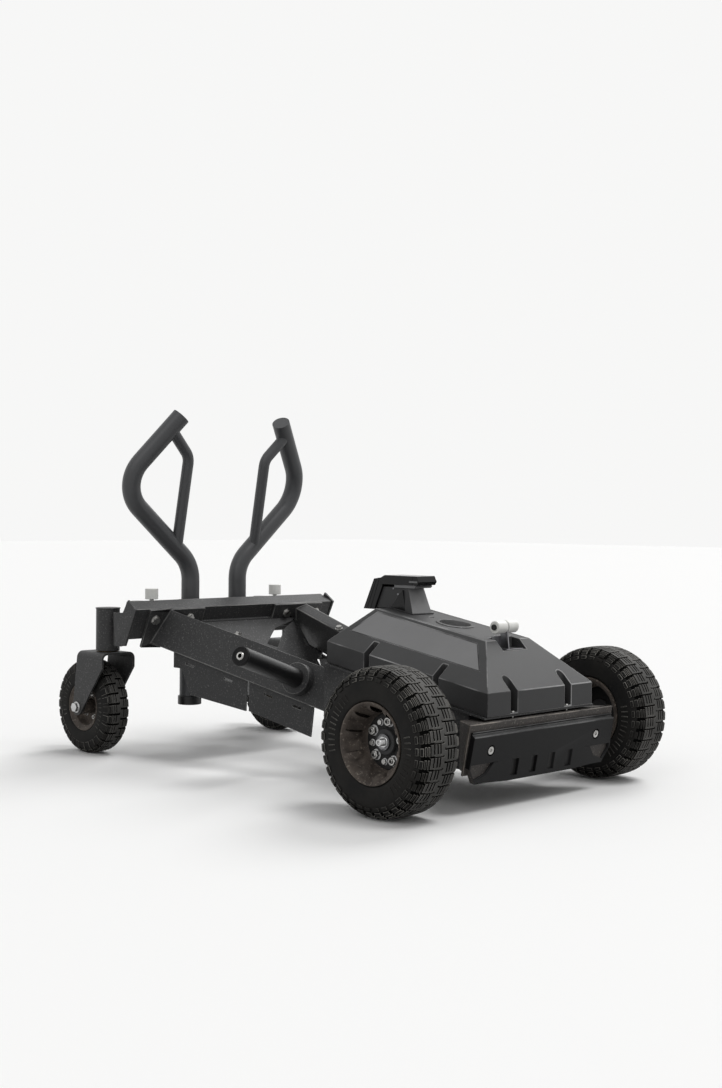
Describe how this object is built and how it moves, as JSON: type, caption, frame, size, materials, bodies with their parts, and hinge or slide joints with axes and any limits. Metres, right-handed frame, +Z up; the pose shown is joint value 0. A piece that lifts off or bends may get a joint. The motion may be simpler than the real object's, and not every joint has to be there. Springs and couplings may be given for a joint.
{
  "type": "push sled",
  "caption": "Wheeled push sled with treaded front wheels on a braked axle, swivelling casters, weight horns and two bent push handles.",
  "frame": {"origin": "on the floor, below the middle of the overall length and width", "axes": "+X forward along the sled, +Y to its left, +Z up"},
  "size_m": [1.469, 0.9024, 0.94],
  "materials": {
    "frame_powder": "fine textured charcoal powder coat",
    "handle_satin": "satin grey powder coat",
    "sleeve_black": "black moulded sleeve",
    "crossmember_brown": "dusty brown-grey textured coat",
    "moulded_black": "satin black grained moulding",
    "console_black": "glossy black moulding",
    "screen_dark": "blank dark screen",
    "zinc": "zinc plated",
    "bare_steel": "ground steel",
    "cast_pulley": "dark cast iron",
    "bronze": "oiled bronze bush",
    "rotor_alloy": "machined alloy",
    "magnet_nickel": "nickel plated",
    "belt_rubber": "black rubber",
    "knob_white": "near-white plastic",
    "rim_bronze": "dusty bronze paint",
    "tyre_rubber": "black rubber"
  },
  "bodies": {
    "frame": {"cross_beam": "frame_powder", "left_caster_head": "frame_powder", "right_caster_head": "frame_powder", "caster_bushes": "bronze", "handle_sleeves": "sleeve_black", "left_side_beam": "frame_powder", "right_side_beam": "frame_powder", "beam_bolts": "zinc", "rear_wall": "frame_powder", "left_side_panels": "frame_powder", "right_side_panels": "frame_powder", "left_weight_horn": "frame_powder", "right_weight_horn": "frame_powder", "horn_sleeves": "sleeve_black", "horn_caps": "zinc", "front_crossmember": "crossmember_brown", "chassis_plates": "frame_powder", "fascia": "moulded_black", "fascia_screws": "zinc", "hood": "moulded_black", "hood_screws": "zinc", "console": "console_black", "console_screen": "screen_dark", "cup_holder": "moulded_black", "roller_bracket": "zinc", "axle_bearings": "bare_steel", "rotor_bearings": "bare_steel", "drive_belt": "belt_rubber", "carriage_bracket": "frame_powder", "control_cable": "belt_rubber", "tube_caps": "sleeve_black", "pin_barrels": "zinc"},
    "drive_axle": {"front_axle": "bare_steel", "left_front_tyre": "tyre_rubber", "right_front_tyre": "tyre_rubber", "left_front_rim": "rim_bronze", "right_front_rim": "rim_bronze", "lug_nuts": "zinc", "axle_pulley": "cast_pulley"},
    "brake_rotor_shaft": {"rotor_shaft": "bare_steel", "brake_rotor": "rotor_alloy"},
    "carriage": {"magnet_carriage": "rotor_alloy", "brake_magnets": "magnet_nickel"},
    "selector": {"selector_lever": "bare_steel"},
    "left_caster_fork": {"left_fork": "frame_powder", "left_caster_axle": "bare_steel"},
    "right_caster_fork": {"right_fork": "frame_powder", "right_caster_axle": "bare_steel"},
    "left_caster_wheel": {"left_caster_tyre": "tyre_rubber", "left_caster_rim": "rim_bronze"},
    "right_caster_wheel": {"right_caster_tyre": "tyre_rubber", "right_caster_rim": "rim_bronze"},
    "left_pin": {"left_pull_pin": "knob_white"},
    "right_pin": {"right_pull_pin": "knob_white"},
    "left_handle": {"left_push_handle": "handle_satin", "left_handle_foot": "sleeve_black"},
    "right_handle": {"right_push_handle": "handle_satin", "right_handle_foot": "sleeve_black"},
    "left_roller": {"left_strap_roller": "knob_white"},
    "right_roller": {"right_strap_roller": "knob_white"}
  },
  "joints": [
    {"name": "axle_spin", "type": "hinge", "parent": "frame", "child": "drive_axle", "pos_m": [0.56945, 0, 0.1651], "axis": [0, 1, 0], "continuous": true},
    {"name": "rotor_spin", "type": "hinge", "parent": "frame", "child": "brake_rotor_shaft", "pos_m": [0.47445, 0, 0.25], "axis": [0, 1, 0], "continuous": true},
    {"name": "selector_turn", "type": "hinge", "parent": "frame", "child": "selector", "pos_m": [0.14192, 0, 0.43812], "axis": [-0.9059, 0, 0.4235], "range_deg": [0, 60]},
    {"name": "carriage_swing", "type": "hinge", "parent": "frame", "child": "carriage", "pos_m": [0.39145, 0, 0.19], "axis": [0, 1, 0], "range_deg": [0, 22]},
    {"name": "left_caster_swivel", "type": "hinge", "parent": "frame", "child": "left_caster_fork", "pos_m": [-0.54127, 0.339, 0.281], "axis": [0, 0, 1], "continuous": true},
    {"name": "left_caster_spin", "type": "hinge", "parent": "left_caster_fork", "child": "left_caster_wheel", "pos_m": [-0.60755, 0.339, 0.127], "axis": [0, 1, 0], "continuous": true},
    {"name": "right_caster_swivel", "type": "hinge", "parent": "frame", "child": "right_caster_fork", "pos_m": [-0.54127, -0.339, 0.281], "axis": [0, 0, 1], "continuous": true},
    {"name": "right_caster_spin", "type": "hinge", "parent": "right_caster_fork", "child": "right_caster_wheel", "pos_m": [-0.60755, -0.339, 0.127], "axis": [0, 1, 0], "continuous": true},
    {"name": "left_pin_pull", "type": "slide", "parent": "frame", "child": "left_pin", "axis": [0, 0, 1], "range_m": [0, 0.012], "stiffness_N_per_m": 1200, "springref_m": -0.004},
    {"name": "left_handle_lift", "type": "slide", "parent": "frame", "child": "left_handle", "axis": [0, 0, 1], "range_m": [0, 0.06]},
    {"name": "left_roller_spin", "type": "hinge", "parent": "frame", "child": "left_roller", "pos_m": [0.57045, 0, 0.397], "axis": [0, 1, 0], "continuous": true},
    {"name": "right_pin_pull", "type": "slide", "parent": "frame", "child": "right_pin", "axis": [0, 0, 1], "range_m": [0, 0.012], "stiffness_N_per_m": 1200, "springref_m": -0.004},
    {"name": "right_handle_lift", "type": "slide", "parent": "frame", "child": "right_handle", "axis": [0, 0, 1], "range_m": [0, 0.06]},
    {"name": "right_roller_spin", "type": "hinge", "parent": "frame", "child": "right_roller", "pos_m": [0.57045, 0, 0.397], "axis": [0, 1, 0], "continuous": true}
  ],
  "couplings": [
    {"joint": "rotor_spin", "follows": "axle_spin", "ratio": 3},
    {"joint": "carriage_swing", "follows": "selector_turn", "ratio": 0.3666}
  ]
}
